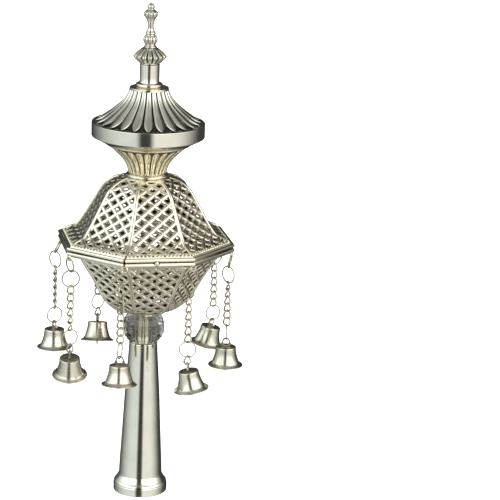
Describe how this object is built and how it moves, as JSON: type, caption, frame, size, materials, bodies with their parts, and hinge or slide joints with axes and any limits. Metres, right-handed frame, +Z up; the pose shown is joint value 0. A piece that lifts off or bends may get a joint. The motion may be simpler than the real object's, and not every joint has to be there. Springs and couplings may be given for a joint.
{
  "type": "torah finial",
  "caption": "Silver-coloured torah finial: a hollow stem carrying a crystal bead, an eight-sided openwork lantern hung with small bells, a fluted roof and a spire.",
  "frame": {"origin": "centre of the stem's round foot, on the flat underside that it stands on", "axes": "+Z up along the stem to the spire's tip, +X to the right and +Y to the back of the side that faces the viewer; a flat side of the lantern faces -Y"},
  "size_m": [0.1341, 0.1287, 0.3386],
  "materials": {
    "brushed_silver": "brushed silver-coloured plate, fine marks running round the turned parts",
    "cast_silver": "cast silver-coloured plate, bright on the raised parts and warm brown in the recesses",
    "wire_silver": "drawn wire, silver-coloured with a warm tint",
    "crystal": "clear cut crystal"
  },
  "bodies": {
    "root": {"stem": "brushed_silver", "central_rod": "wire_silver", "crystal_bead": "crystal", "bowl_collar": "cast_silver", "bowl": "cast_silver", "lower_rim": "cast_silver", "upper_rim": "cast_silver", "rim_rivet": "cast_silver", "dome": "cast_silver", "dome_collar": "brushed_silver", "calyx": "cast_silver", "roof": "brushed_silver", "neck_tube": "brushed_silver", "ribbed_bead": "cast_silver", "spire": "cast_silver", "chain_1": "wire_silver", "bell_1": "brushed_silver", "clapper_1": "wire_silver", "chain_2": "wire_silver", "bell_2": "brushed_silver", "clapper_2": "wire_silver", "chain_3": "wire_silver", "bell_3": "brushed_silver", "clapper_3": "wire_silver", "chain_4": "wire_silver", "bell_4": "brushed_silver", "clapper_4": "wire_silver", "chain_5": "wire_silver", "bell_5": "brushed_silver", "clapper_5": "wire_silver", "chain_6": "wire_silver", "bell_6": "brushed_silver", "clapper_6": "wire_silver", "chain_7": "wire_silver", "bell_7": "brushed_silver", "clapper_7": "wire_silver"}
  },
  "joints": []
}
